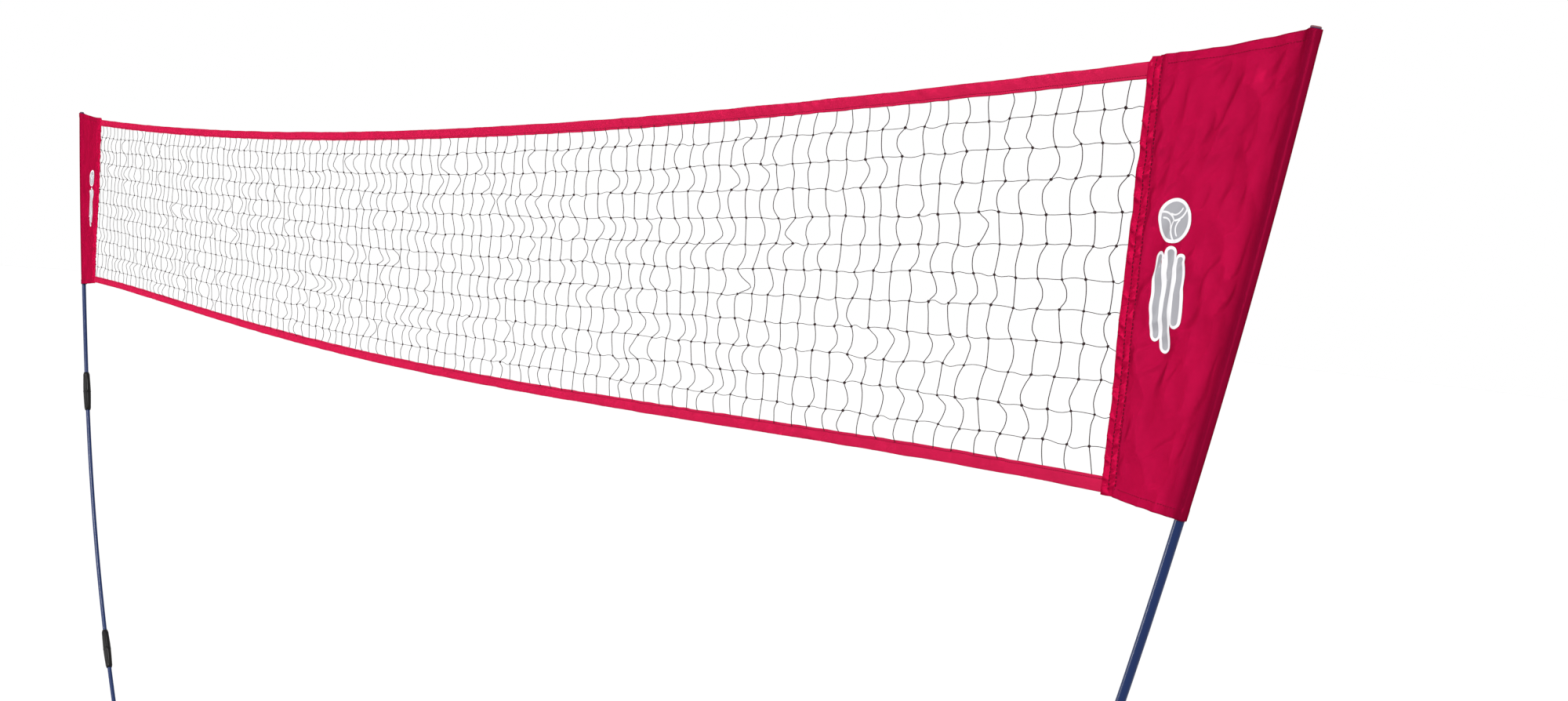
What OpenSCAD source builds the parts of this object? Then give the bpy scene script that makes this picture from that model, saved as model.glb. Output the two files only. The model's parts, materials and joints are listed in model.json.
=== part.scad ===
// Volleyball net on two bowed poles with a free-standing folding base.
// +X runs along the net, +Z is up, and the origin is on the ground under the middle of the net.

/* [Net] */
// Width of the open mesh between its two edge bindings
mesh_w = 4815; // [4365:45:5265]
// Height of the open mesh at its corners
mesh_h = 518; // [480:2:560]
// Side of one square of the mesh
mesh_pitch = 45; // [45:5:60]
// Thickness of the twine
twine_d = 1.5; // [1:0.1:2]
// Height of the net's top edge at mid-span
mid_height = 2430; // [2350:5:2500]
// How far the top tape sags at mid-span
top_sag = 63; // [20:1:90]
// How far the bottom tape sags at mid-span
bottom_sag = 51; // [20:1:90]
// Height of the top and bottom tapes
tape_h = 21; // [16:1:30]
// Thickness of a folded tape
tape_t = 3; // [2:0.5:4]
// Width of the binding along each end of the mesh
binding_w = 26; // [20:1:34]
// Thickness of an end panel's cloth, doubled
panel_t = 2; // [1.5:0.5:3]

/* [Poles] */
// Outer diameter of a pole tube
pole_d = 13.5; // [12.5:0.5:14.5]
// Wall of a pole tube
pole_wall = 1.5; // [1:0.1:2]
// Sideways reach of a pole's tip beyond the mesh
tip_reach = 255; // [230:5:280]
// Rise of a pole's tip above the mesh's corner
tip_rise = 50; // [40:1:60]
// Length of the top tube
top_tube_l = 1000; // [950:10:1050]
// Length of the middle tube
middle_tube_l = 930; // [900:10:960]
// Outward lean of the pole at its tip, at each ferrule and in its socket
leans = [8.75, 16, 32, 45];
// Length of a ferrule
ferrule_l = 135; // [110:5:150]
// Largest diameter of a ferrule
ferrule_d = 26; // [24:1:30]

/* [Base] */
// Outer diameter of the ground bar
bar_d = 25; // [24:1:26]
// Half the length of the bar's middle section
bar_split = 540; // [500:10:600]
// Wall of the steel tubes in the base
tube_wall = 1.5; // [1.2:0.1:1.6]
// Outer diameter of a leg
leg_d = 20; // [18:1:20]
// Length of a leg from its pivot
leg_l = 430; // [350:10:480]
// Height of the bar's and the legs' axes above the ground
bar_z = 28; // [28:1:32]
// Depth of a pole in its socket
socket_l = 110; // [90:5:120]

/* [Hidden] */
$fn = 48;
SIDES = ["left", "right"];
ENDS = ["front", "back"];
PLACES = ["bar", "hub"];

half_w = mesh_w / 2;
net_z = mid_height + top_sag - tape_h;    // height of the mesh's top corners
columns = floor(mesh_w / mesh_pitch);
rows = 11;
bottom_sag_power = 1.7;                    // the bottom tape hangs in a narrower curve
sag_steps = 48;
lengths = 8;                               // each tape and row is cut into this many lengths
length_gap = 0.2;
seam_gap = 0.3;                            // clearance between twine ends and the tapes
pole_r = pole_d / 2;
bore_r = pole_r - pole_wall;               // inside of a pole tube
sleeve_r = pole_r + 0.6;                   // inside of the cloth sleeve
sleeve_t = 1;
sleeve_start = 1;                          // how far the sleeve's top is below the pole's tip
sleeve_l = 613;
butt = 1;                                  // half the ring that two tubes butt against
rod_l = 120;
cord_r = 2;
stop_depth = 20;                           // how far a cord stop is inside its tube
stop_t = 3;
socket_r = pole_r + 0.8;                   // inside of a pole's socket
socket_wall = 1.5;
bar_r = bar_d / 2;
leg_r = leg_d / 2;
barrel_r = bar_r + 4.5;                    // outside of the hub around the bar
pad_t = 3;
bolt_r = 3;
leg_y = 38;                                // distance of a leg's pivot from the bar's axis
ear_gap = leg_d + 0.6;
ear_t = 6;
button_r = 3.5;
flange_r = 4.7;

// The pole's path in the XZ plane, from its tip down to the bottom of its socket.
// A bend of radius r turns the lean from a to b, where lean is measured from the vertical.
function bent(p, r, a, b) = p - r * [cos(a) - cos(b), sin(b) - sin(a)];
function along(p, s, a) = p + s * [sin(a), cos(a)];
radians = PI / 180;
top_r = top_tube_l / ((leans[1] - leans[0]) * radians);
middle_r = middle_tube_l / ((leans[2] - leans[1]) * radians);
tip = [half_w + tip_reach, net_z + tip_rise];
upper_joint = bent(tip, top_r, leans[0], leans[1]);
lower_joint = bent(upper_joint, middle_r, leans[1], leans[2]);
foot_z = 54;                               // height of the pole's bottom end
bottom_r = (lower_joint.y - foot_z) / (sin(leans[3]) - sin(leans[2]));
foot = bent(lower_joint, bottom_r, leans[2], leans[3]);
// The straight socket follows the chord of the bent tube inside it.
socket_lean = leans[3] - socket_l / (2 * bottom_r * radians);
starts = [tip, upper_joint, lower_joint];
bend_radii = [top_r, middle_r, bottom_r];
pivot_x = foot.x - 15;
hub_button_x = foot.x - 46;
bar_button_x = bar_split + 40;

function top_edge(x) = net_z - top_sag * (1 - pow(x / half_w, 2));
function bottom_edge(x) =
    net_z - mesh_h - bottom_sag * pow(max(0, 1 - pow(x / half_w, 2)), bottom_sag_power);
function blend_edge(x, t) = top_edge(x) * (1 - t) + bottom_edge(x) * t;

// Stations along one of the lengths that a tape or a row is cut into.
function stations(part) =
    let (steps = 2 * sag_steps / lengths, from = part * steps - sag_steps,
         low = half_w * from / sag_steps + length_gap / 2,
         high = half_w * (from + steps) / sag_steps - length_gap / 2)
    [for (i = [0 : steps]) low + (high - low) * i / steps];

// Mirrors the right-hand half for the left side, and the back for the front.
module on(side) mirror([side == "left" ? 1 : 0, 0, 0]) children();
module to(end) mirror([0, end == "front" ? 1 : 0, 0]) children();

// Stands an outline drawn in X and Z upright, centred on the net's plane.
module upright(t) rotate([90, 0, 0]) linear_extrude(t, center = true) children();

// A strip between two edges given as heights at x, cut into lengths that each bend only a little.
module strip(upper, lower) for (part = [0 : lengths - 1]) {
    xs = stations(part);
    polygon(concat([for (x = xs) [x, upper(x)]],
                   [for (i = [len(xs) - 1 : -1 : 0]) [xs[i], lower(xs[i])]]));
}

// Sweeps a round profile along one bend of the pole, between two leans.
module bend(i, a = undef, b = undef) {
    r = bend_radii[i];
    from = a == undef ? leans[i] : a;
    till = b == undef ? leans[i + 1] : b;
    centre = starts[i] + r * [-cos(leans[i]), sin(leans[i])];
    translate([centre.x, 0, centre.y]) rotate([90, 0, 0]) rotate([0, 0, -till])
        rotate_extrude(angle = till - from, $fn = 96) translate([r, 0]) children();
}

// Puts a shape on the pole at point p, with its +Z up along the pole.
module at_pole(p, lean) translate([p.x, 0, p.y]) rotate([0, lean, 0]) children();

module ring(outer, inner) difference() { circle(outer); circle(inner); }

module tube(outer, inner, l) difference() {
    cylinder(r = outer, h = l);
    translate([0, 0, -1]) cylinder(r = inner, h = l + 2);
}

module along_x(x, z) translate([x, 0, z]) rotate([0, 90, 0]) children();

// ---- Net ----

module net_rows() color("dimgray") translate([0, -twine_d / 2, 0])
    for (i = [1 : rows]) {
        t = (i - 0.22) / (rows + 0.56);
        upright(twine_d) strip(function(x) blend_edge(x, t) + twine_d / 2,
                               function(x) blend_edge(x, t) - twine_d / 2);
    }

module net_columns() color("dimgray") translate([0, twine_d / 2, 0])
    for (i = [1 : columns]) {
        x = -half_w + (i - 0.5) * mesh_w / columns;
        low = bottom_edge(x) + seam_gap;
        translate([x - twine_d / 2, -twine_d / 2, low])
            cube([twine_d, twine_d, top_edge(x) - seam_gap - low]);
    }

module top_tape() color("crimson") upright(tape_t)
    strip(function(x) top_edge(x) + tape_h, function(x) top_edge(x));

module bottom_tape() color("crimson") upright(tape_t)
    strip(function(x) bottom_edge(x), function(x) bottom_edge(x) - tape_h);

module binding() color("firebrick") upright(tape_t + 0.5)
    polygon([[half_w, net_z + 27], [half_w + binding_w, net_z + 29],
             [half_w + binding_w, net_z - mesh_h - 25], [half_w, net_z - mesh_h - 22]]);

// The panel's cloth and the sleeve that holds the pole.
module panel() {
    sleeve_top = leans[0] + sleeve_start / (top_r * radians);
    sleeve_end = leans[0] + (sleeve_start + sleeve_l) / (top_r * radians);
    bends = 8;
    seam = [for (i = [0 : bends]) let (a = sleeve_top + (sleeve_end - sleeve_top) * i / bends)
        bent(tip, top_r, leans[0], a) - [sleeve_r + 0.6 * sleeve_t, 0]];
    color("crimson") {
        upright(panel_t) polygon(concat(seam,
            [[half_w + binding_w, net_z - mesh_h - 25], [half_w + binding_w, net_z + 29],
             [half_w + 0.45 * tip_reach, net_z + 33]]));
        bend(0, sleeve_top, sleeve_end) ring(sleeve_r + sleeve_t, sleeve_r);
    }
}

// ---- Poles ----

module pole_tube(i) {
    gap = butt / (bend_radii[i] * radians);
    color("midnightblue") bend(i, leans[i] + (i > 0 ? gap : 0), leans[i + 1] - (i < 2 ? gap : 0))
        ring(pole_r, bore_r);
}

// Moulded barrel with a ring inside that the two tubes butt against.
module ferrule(p, lean) color("black") at_pole(p, lean) difference() {
    for (up = [0, 1]) mirror([0, 0, up]) {
        cylinder(r1 = ferrule_d / 2, r2 = ferrule_d / 2 - 2, h = ferrule_l / 2 - 8);
        translate([0, 0, ferrule_l / 2 - 8])
            cylinder(r1 = ferrule_d / 2 - 2, r2 = pole_r + 2.4, h = 8);
    }
    for (up = [0, 1]) mirror([0, 0, up])
        translate([0, 0, butt]) cylinder(r = pole_r + 0.9, h = ferrule_l);
    translate([0, 0, -2 * butt]) cylinder(r = bore_r - 0.2, h = 4 * butt);
}

// Steel rod across a joint, drilled for the shock cord.
module joint_rod(p, lean) color("silver") at_pole(p, lean)
    translate([0, 0, -rod_l / 2]) tube(bore_r - 0.7, cord_r + 0.9, rod_l);

// Elastic cord through the three tubes, with a bead at each joint and knots at the ends.
module shock_cord() {
    top = leans[0] + (stop_depth + stop_t) / (top_r * radians);
    low = leans[3] - (stop_depth + stop_t) / (bottom_r * radians);
    color("dimgray") {
        bend(0, top) circle(cord_r);
        bend(1) circle(cord_r);
        bend(2, leans[2], low) circle(cord_r);
        for (p = [upper_joint, lower_joint]) at_pole(p, 0) sphere(cord_r + 0.4);
    }
}

// Drilled discs that the cord's ends are knotted against.
module cord_stops() for (s = SIDES) on(s) color("silver") {
    at_pole(along(tip, -stop_depth - stop_t, leans[0]), leans[0])
        cylinder(r = bore_r - 0.4, h = stop_t);
    at_pole(along(foot, stop_depth, leans[3]), leans[3])
        cylinder(r = bore_r - 0.4, h = stop_t);
}

module tip_cap() color("rosybrown") at_pole(tip, leans[0]) {
    cylinder(r = pole_r, h = 1);
    translate([0, 0, 1]) cylinder(r1 = pole_r, r2 = pole_r - 1, h = 1);
    translate([0, 0, -14]) cylinder(r = bore_r - 0.1, h = 15);
}

// ---- Base ----

module pole_socket() color("midnightblue") at_pole(foot, socket_lean) difference() {
    translate([0, 0, -3]) cylinder(r = socket_r + socket_wall, h = socket_l + 3);
    translate([0, 0, -0.4]) cylinder(r = socket_r, h = socket_l + 1.4);
}

// Moulded hub: a barrel around the bar's end, a boss around the pole's socket,
// ears above and below each leg's pivot, and a base plate.
module hub() color([0.1, 0.1, 0.11]) difference() {
    union() {
        along_x(foot.x - 72, bar_z) cylinder(r = barrel_r, h = 94);
        at_pole(foot, socket_lean) translate([0, 0, -14]) cylinder(r = socket_r + 6.3, h = 74);
        translate([foot.x, 0, 0]) rotate([90, 0, 0]) linear_extrude(12, center = true)
            polygon([[-66, bar_z], [26, pad_t + 4], [52, pad_t + 4], [38, foot_z + 32],
                     [26, foot_z + 38], [-20, bar_z + 12]]);
        translate([pivot_x, 0, bar_z]) for (up = [0, 1]) mirror([0, 0, up])
            translate([0, 0, ear_gap / 2]) linear_extrude(ear_t) {
                square([26, 2 * leg_y], center = true);
                for (y = [-leg_y, leg_y]) translate([0, y]) circle(13);
            }
        translate([pivot_x - 16, -18, pad_t]) cube([32, 36, bar_z + ear_gap / 2 + ear_t - pad_t]);
        translate([foot.x, 0, pad_t]) linear_extrude(5) {
            square([124, 36], center = true);
            square([100, 60], center = true);
            for (x = [-50, 50]) for (y = [-18, 18]) translate([x, y]) circle(12);
        }
    }
    along_x(foot.x - 80, bar_z) cylinder(r = bar_r + 0.15, h = 90);
    at_pole(foot, socket_lean) translate([0, 0, -3.1])
        cylinder(r = socket_r + socket_wall + 0.1, h = 90);
    for (y = [-leg_y, leg_y]) translate([pivot_x, y, pad_t - 1]) cylinder(r = bolt_r + 0.1, h = 60);
    translate([hub_button_x, 0, bar_z]) cylinder(r = button_r + 0.2, h = barrel_r + 9);
}

module hub_pad() color([0.05, 0.05, 0.05]) translate([foot.x, 0, 0]) linear_extrude(pad_t) {
    square([120, 32], center = true);
    square([96, 56], center = true);
    for (x = [-48, 48]) for (y = [-16, 16]) translate([x, y]) circle(12);
}

// Outer section of the bar, from its joint with the middle section into the hub.
module side_bar() color("midnightblue") difference() {
    along_x(bar_split, bar_z) tube(bar_r, bar_r - tube_wall, foot.x + 9 - bar_split);
    for (x = [bar_button_x, hub_button_x])
        translate([x, 0, bar_z]) cylinder(r = button_r + 0.2, h = bar_d);
}

module centre_bar() color("midnightblue")
    along_x(-bar_split, bar_z) tube(bar_r, bar_r - tube_wall, 2 * bar_split);

spigot_r = bar_r - tube_wall - 0.1;

module spigot() color("silver") difference() {
    along_x(bar_split - 80, bar_z) tube(spigot_r, spigot_r - tube_wall, 160);
    translate([bar_button_x, 0, bar_z]) cylinder(r = button_r + 0.2, h = bar_d);
}

// Inner radius of the tube that holds a snap button, and the outer radius that it stands above.
function button_bore(place) = place == "bar" ? spigot_r - tube_wall : bar_r - tube_wall;
function button_cover(place) = place == "bar" ? bar_r : barrel_r;
function button_x(place) = place == "bar" ? bar_button_x : hub_button_x;
function flange_z(place) = sqrt(pow(button_bore(place), 2) - flange_r * flange_r) - 0.15;

module snap_button(place) color("silver") translate([button_x(place), 0, bar_z]) {
    low = flange_z(place) - 1;
    high = button_cover(place) + 3;
    translate([0, 0, low]) cylinder(r = flange_r, h = 1);
    translate([0, 0, low + 0.5]) cylinder(r = button_r, h = high - low - 1.5);
    translate([0, 0, high - 1]) cylinder(r1 = button_r, r2 = button_r - 0.9, h = 1);
}

// Flat spring folded to a V, which lies in the tube and lifts the button.
module snap_spring(place) color("silver") translate([button_x(place), 0, bar_z]) {
    high = flange_z(place) - 1;
    low = -sqrt(pow(button_bore(place), 2) - 9);
    fold = (high + low) / 2;
    upright(5.6) polygon([[5, high], [-40, fold], [5, low], [5, low + 0.8], [-36.5, fold],
                          [5, high - 0.8]]);
}

// Leg drawn as the one at the back, running towards +Y.
module leg() color("midnightblue") difference() {
    translate([pivot_x, leg_y - 12, bar_z]) rotate([-90, 0, 0])
        tube(leg_r, leg_r - tube_wall, leg_l + 12);
    translate([pivot_x, leg_y, 0]) cylinder(r = bolt_r + 0.3, h = 60);
}

module boot() color([0.05, 0.05, 0.05]) difference() {
    translate([pivot_x, leg_y + leg_l - 34, bar_z]) {
        rotate([-90, 0, 0]) cylinder(r = leg_r + 3, h = 34);
        translate([0, 34, 0]) rotate([-90, 0, 0]) cylinder(r1 = leg_r + 3, r2 = leg_r, h = 4);
        translate([-11, 2, -bar_z]) cube([22, 30, bar_z]);
    }
    translate([pivot_x, leg_y + leg_l - 35, bar_z]) rotate([-90, 0, 0])
        cylinder(r = leg_r, h = 35);
}

module at_pivots() for (s = SIDES) on(s) for (e = ENDS) to(e)
    translate([pivot_x, leg_y, bar_z]) children();

ear_top = ear_gap / 2 + ear_t;

module pivot_bolts() color("silver") at_pivots() {
    translate([0, 0, -ear_top - 5]) cylinder(r = bolt_r, h = 2 * ear_top + 5);
    translate([0, 0, ear_top]) cylinder(r1 = 6, r2 = 4.5, h = 3);
}

module pivot_nuts() color("silver") at_pivots() translate([0, 0, -ear_top - 4.5]) difference() {
    cylinder(r = 5.8, h = 4.5, $fn = 6);
    translate([0, 0, -1]) cylinder(r = bolt_r, h = 7);
}

// Saddle that carries the middle of the bar.
module centre_foot() color([0.05, 0.05, 0.05]) difference() {
    translate([-35, 0, 0]) rotate([90, 0, 90]) linear_extrude(70)
        polygon([[-45, 0], [45, 0], [45, 5], [20, bar_z + 8], [-20, bar_z + 8], [-45, 5]]);
    along_x(-40, bar_z) cylinder(r = bar_r + 0.05, h = 80);
}

net_rows();
net_columns();
top_tape();
bottom_tape();
cord_stops();
centre_bar();
centre_foot();
pivot_bolts();
pivot_nuts();
for (s = SIDES) {
    on(s) binding();
    on(s) panel();
    on(s) pole_tube(0);
    on(s) pole_tube(1);
    on(s) pole_tube(2);
    on(s) tip_cap();
    on(s) ferrule(upper_joint, leans[1]);
    on(s) ferrule(lower_joint, leans[2]);
    on(s) joint_rod(upper_joint, leans[1]);
    on(s) joint_rod(lower_joint, leans[2]);
    on(s) shock_cord();
    on(s) hub();
    on(s) hub_pad();
    on(s) pole_socket();
    on(s) side_bar();
    on(s) spigot();
    for (e = ENDS) {
        on(s) to(e) leg();
        on(s) to(e) boot();
    }
    for (p = PLACES) {
        on(s) snap_button(p);
        on(s) snap_spring(p);
    }
}
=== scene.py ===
# %% [markdown]
# # A volleyball net on two bowed poles
#
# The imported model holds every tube, hub, leg and button at its real size. This lesson keeps those
# pieces where they are and builds what a hard solid can't show: knotted twine, folded tape,
# gathered binding and the satin end panels. The frame is loaded first, because every soft piece
# takes its place from it.

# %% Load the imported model
import json
import math

import bpy
import numpy as np
from mathutils import Matrix, Vector


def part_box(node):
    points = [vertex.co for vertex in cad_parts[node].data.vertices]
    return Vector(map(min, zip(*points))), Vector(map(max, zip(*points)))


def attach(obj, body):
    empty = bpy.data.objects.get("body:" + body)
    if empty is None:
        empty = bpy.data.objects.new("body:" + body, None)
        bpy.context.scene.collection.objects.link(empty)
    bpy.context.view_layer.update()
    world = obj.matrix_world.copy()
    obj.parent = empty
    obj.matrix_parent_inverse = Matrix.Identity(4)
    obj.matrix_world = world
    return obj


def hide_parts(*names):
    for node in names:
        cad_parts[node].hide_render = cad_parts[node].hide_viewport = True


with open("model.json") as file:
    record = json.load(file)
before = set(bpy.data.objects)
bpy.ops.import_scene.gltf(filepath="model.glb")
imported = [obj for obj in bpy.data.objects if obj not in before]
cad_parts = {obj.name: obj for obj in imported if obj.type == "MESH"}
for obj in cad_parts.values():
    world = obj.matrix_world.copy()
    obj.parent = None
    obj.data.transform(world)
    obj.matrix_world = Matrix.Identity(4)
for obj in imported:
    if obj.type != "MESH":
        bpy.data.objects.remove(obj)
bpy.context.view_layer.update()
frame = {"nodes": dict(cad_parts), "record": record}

# %% [markdown]
# ## Where the net hangs
#
# The net is a rectangle of mesh that sags a little between the poles. Two edge curves describe all
# of it: the mesh's top edge is a parabola, and its bottom edge hangs in a narrower curve. Reading
# the corners from the frame's own boxes keeps the soft pieces on the hard ones if a size changes.

# %% Sizes read from the frame
TAPE_HEIGHT = 0.021
BINDING_WIDTH = 0.026
BOTTOM_CURVE_POWER = 1.7
COLUMNS = 107  # upright twines, with half a square beyond the first and the last
ROWS = 11

tape_low, tape_high = (Vector(corner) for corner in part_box("top_tape"))
hem_low, hem_high = (Vector(corner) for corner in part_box("bottom_tape"))
HALF_WIDTH = tape_high.x
CORNER_Z = tape_high.z - TAPE_HEIGHT
TOP_SAG = CORNER_Z - tape_low.z
MESH_HEIGHT = CORNER_Z - hem_high.z
BOTTOM_SAG = hem_high.z - TAPE_HEIGHT - hem_low.z


def top_edge(x):
    return CORNER_Z - TOP_SAG * (1 - (x / HALF_WIDTH) ** 2)


def bottom_edge(x):
    hang = np.clip(1 - (x / HALF_WIDTH) ** 2, 0, 1) ** BOTTOM_CURVE_POWER
    return CORNER_Z - MESH_HEIGHT - BOTTOM_SAG * hang


print(f"mesh {2 * HALF_WIDTH:.3f} x {MESH_HEIGHT:.3f} m, sags {TOP_SAG:.3f} and {BOTTOM_SAG:.3f} m")

# %% [markdown]
# ## The camera
#
# The net is seen from low at its right-hand end, so that it runs away to the left. The camera is
# set by its place from the mesh's top corner line, three turns and a lens. A little upward shift
# keeps the poles upright in the frame, as a rising front does on a view camera.

# %% Camera
CAMERA_PLACE = Vector((4.018, -1.728, CORNER_Z - 0.287))
LOOK_LEFT, LOOK_DOWN, ROLL = (math.radians(a) for a in (53.216, 6.921, 5.122))
LENS_MM = 40.49
UPWARD_SHIFT = 0.0865  # share of the picture's width
FAR_END = 500  # nothing in the scene is further away than this, in metres

camera_data = bpy.data.cameras.new("camera")
camera_data.lens = LENS_MM
camera_data.shift_y = UPWARD_SHIFT
camera_data.clip_end = FAR_END
camera = bpy.data.objects.new("camera", camera_data)
bpy.context.scene.collection.objects.link(camera)
turn = Matrix.Rotation(LOOK_LEFT, 4, "Z") @ Matrix.Rotation(math.pi / 2 - LOOK_DOWN, 4, "X")
camera.matrix_world = Matrix.Translation(CAMERA_PLACE) @ turn @ Matrix.Rotation(ROLL, 4, "Z")
bpy.context.scene.camera = camera
print("camera stands", round((CAMERA_PLACE - Vector((HALF_WIDTH, 0, CORNER_Z))).length, 2), "m away")

# %% [markdown]
# ## Floor and light
#
# The set stands on a plain pale floor under a white sky, so the shade stays open. A soft sun from
# the front right gives the cloth its form. Two weak softboxes draw the bright line along the
# glossy poles and put a shine on the satin.

# %% Floor, lights and sky


def area_light(name, place, aim, size, watts):
    data = bpy.data.lights.new(name, "AREA")
    data.shape, data.size, data.size_y = "RECTANGLE", size[0], size[1]
    data.energy = watts
    lamp = bpy.data.objects.new(name, data)
    lamp.visible_camera = False  # it would bleach thin pieces that pass in front of it
    bpy.context.scene.collection.objects.link(lamp)
    facing = (Vector(aim) - Vector(place)).to_track_quat("-Z", "Y")
    lamp.matrix_world = Matrix.Translation(place) @ facing.to_matrix().to_4x4()


def soft_sun(name, towards, strength, spread):
    data = bpy.data.lights.new(name, "SUN")
    data.energy, data.angle = strength, math.radians(spread)
    lamp = bpy.data.objects.new(name, data)
    bpy.context.scene.collection.objects.link(lamp)
    lamp.matrix_world = Vector(towards).to_track_quat("-Z", "Y").to_matrix().to_4x4()


soft_sun("sun", towards=(-0.62, 0.60, -0.52), strength=4.3, spread=20)
area_light("satin_softbox", place=(-2.7, -6.2, 0.6), aim=(2.5, 0, 1.9), size=(1.8, 1.7), watts=210)
area_light("pole_softbox", place=(-4.6, -5.4, 2.0), aim=(-1.5, 0, 1.2), size=(1.3, 3.6), watts=110)

sky = bpy.data.worlds.new("pale_sky")
bpy.context.scene.world = sky
sky.use_nodes = True
sky.node_tree.nodes["Background"].inputs["Color"].default_value = (1.0, 1.0, 1.0, 1)
sky.node_tree.nodes["Background"].inputs["Strength"].default_value = 1.0
bpy.context.scene.view_settings.view_transform = "Standard"
print("lights:", ", ".join(light.name for light in bpy.data.lights))

# %% Helpers that make a mesh object and give it a finish


def new_piece(name, verts, faces, finish=None, smooth=True):
    mesh = bpy.data.meshes.new(name)
    mesh.from_pydata([tuple(v) for v in verts], [], [tuple(f) for f in faces])
    mesh.polygons.foreach_set("use_smooth", [smooth] * len(mesh.polygons))
    mesh.update()
    piece = bpy.data.objects.new(name, mesh)
    bpy.context.scene.collection.objects.link(piece)
    if finish:
        mesh.materials.append(finish)
    return piece


def grid_faces(rows, columns, wrap=False, first=0):
    """Quads of a grid of rows x columns points, optionally closed from the last column to the first."""
    across = columns if wrap else columns - 1
    r, c = np.meshgrid(np.arange(rows - 1), np.arange(across), indexing="ij")
    right = (c + 1) % columns
    quads = np.stack([r * columns + c, r * columns + right, (r + 1) * columns + right,
                      (r + 1) * columns + c], axis=-1)
    return (quads.reshape(-1, 4) + first).tolist()


def soft_noise(seed, a, b=0.0):
    """Smooth random values from -1 to 1 that change over a distance of about 1 in a and in b."""
    a, b = np.broadcast_arrays(np.asarray(a, float), np.asarray(b, float))
    across, down = 512, 64  # the pattern repeats after this many values in a and in b
    lattice = np.random.default_rng(seed).uniform(-1, 1, (across, down))
    i, j = np.floor(a).astype(int), np.floor(b).astype(int)
    u, v = a - i, b - j
    u, v = u * u * (3 - 2 * u), v * v * (3 - 2 * v)

    def corner(di, dj):
        return lattice[(i + di) % across, (j + dj) % down]

    near = corner(0, 0) * (1 - u) + corner(1, 0) * u
    far = corner(0, 1) * (1 - u) + corner(1, 1) * u
    return near * (1 - v) + far * v


def smooth_step(low, high, value):
    t = np.clip((value - low) / (high - low), 0, 1)
    return t * t * (3 - 2 * t)


# %% [markdown]
# ## Where the poles run
#
# Each pole is three tubes, and each tube is bent to a true arc. The sleeve of an end panel follows
# the top arc, so the same few numbers as in the frame give any point on it.

# %% The pole's path
TIP_LEAN, UPPER_LEAN, LOWER_LEAN = (math.radians(a) for a in (8.75, 16, 32))
TOP_TUBE, MIDDLE_TUBE = 1.000, 0.930
POLE_RADIUS = 0.00675
tip_low, tip_high = (Vector(corner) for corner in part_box("right_pole_top"))
TOP_BEND = TOP_TUBE / (UPPER_LEAN - TIP_LEAN)
MIDDLE_BEND = MIDDLE_TUBE / (LOWER_LEAN - UPPER_LEAN)
TIP = np.array([tip_high.x - POLE_RADIUS * math.cos(TIP_LEAN),
                tip_high.z - POLE_RADIUS * math.sin(TIP_LEAN)])


def bent(start, radius, a, b):
    """The (x, z) point where a bend from lean a has reached lean b."""
    return start - radius * np.array([np.cos(a) - np.cos(b), np.sin(b) - np.sin(a)])


def on_top_tube(distance):
    """Point and lean at a distance below the tip, for the right-hand pole."""
    lean = TIP_LEAN + distance / TOP_BEND
    return bent(TIP, TOP_BEND, TIP_LEAN, lean), lean


UPPER_JOINT = bent(TIP, TOP_BEND, TIP_LEAN, UPPER_LEAN)
LOWER_JOINT = bent(UPPER_JOINT, MIDDLE_BEND, UPPER_LEAN, LOWER_LEAN)

# %% [markdown]
# ## Finishes
#
# A finish is a Principled shader fed by small node groups, each built once with its own inputs.
# Three effects come up again and again: soft mottling of colour and gloss, the weave of cloth or
# braid, and fine grain on moulded and painted pieces. A fourth is for the panels alone: it darkens
# the cloth along the sleeve, partly as the dark pole seen through it and partly as painted shade
# in the valley beside the sleeve.

# %% Node group builder


def start_group(name, inputs, outputs):
    group = bpy.data.node_groups.new(name, "ShaderNodeTree")
    for label, kind, value in inputs:
        socket = group.interface.new_socket(label, in_out="INPUT", socket_type=kind)
        socket.default_value = value
    for label, kind in outputs:
        group.interface.new_socket(label, in_out="OUTPUT", socket_type=kind)
    entry = group.nodes.new("NodeGroupInput")
    leave = group.nodes.new("NodeGroupOutput")
    return group, entry, leave


def add_node(tree, kind, settings=(), **inputs):
    """A node with its properties set, and each named input set or linked."""
    node = tree.nodes.new(kind)
    for key, value in dict(settings).items():
        setattr(node, key, value)
    for key, value in inputs.items():
        socket = node.inputs[int(key[1:])] if key[0] == "i" and key[1:].isdigit() \
            else node.inputs[key.replace("_", " ")]
        if isinstance(value, bpy.types.NodeSocket):
            tree.links.new(value, socket)
        else:
            socket.default_value = value
    return node


def maths(tree, operation, a, b=0.0):
    return add_node(tree, "ShaderNodeMath", {"operation": operation}, i0=a, i1=b).outputs[0]


# %% Mottle: patches of slightly different colour and gloss
def build_mottle():
    group, entry, leave = start_group(
        "mottle",
        [("Color", "NodeSocketColor", (0.5, 0.5, 0.5, 1)), ("Size", "NodeSocketFloat", 20.0),
         ("Depth", "NodeSocketFloat", 0.15), ("Roughness", "NodeSocketFloat", 0.5)],
        [("Color", "NodeSocketColor"), ("Roughness", "NodeSocketFloat")])
    place = add_node(group, "ShaderNodeTexCoord")
    patches = add_node(group, "ShaderNodeTexNoise", Vector=place.outputs["Object"],
                       Scale=entry.outputs["Size"], Detail=4.0, Roughness=0.55)
    swing = maths(group, "SUBTRACT", patches.outputs["Fac"], 0.5)
    change = maths(group, "MULTIPLY", swing, entry.outputs["Depth"])
    value = maths(group, "ADD", maths(group, "MULTIPLY", change, 2.0), 1.0)
    tint = add_node(group, "ShaderNodeHueSaturation", Color=entry.outputs["Color"], Value=value)
    gloss = maths(group, "ADD", entry.outputs["Roughness"], change)
    group.links.new(tint.outputs["Color"], leave.inputs["Color"])
    group.links.new(gloss, leave.inputs["Roughness"])
    return group


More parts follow.
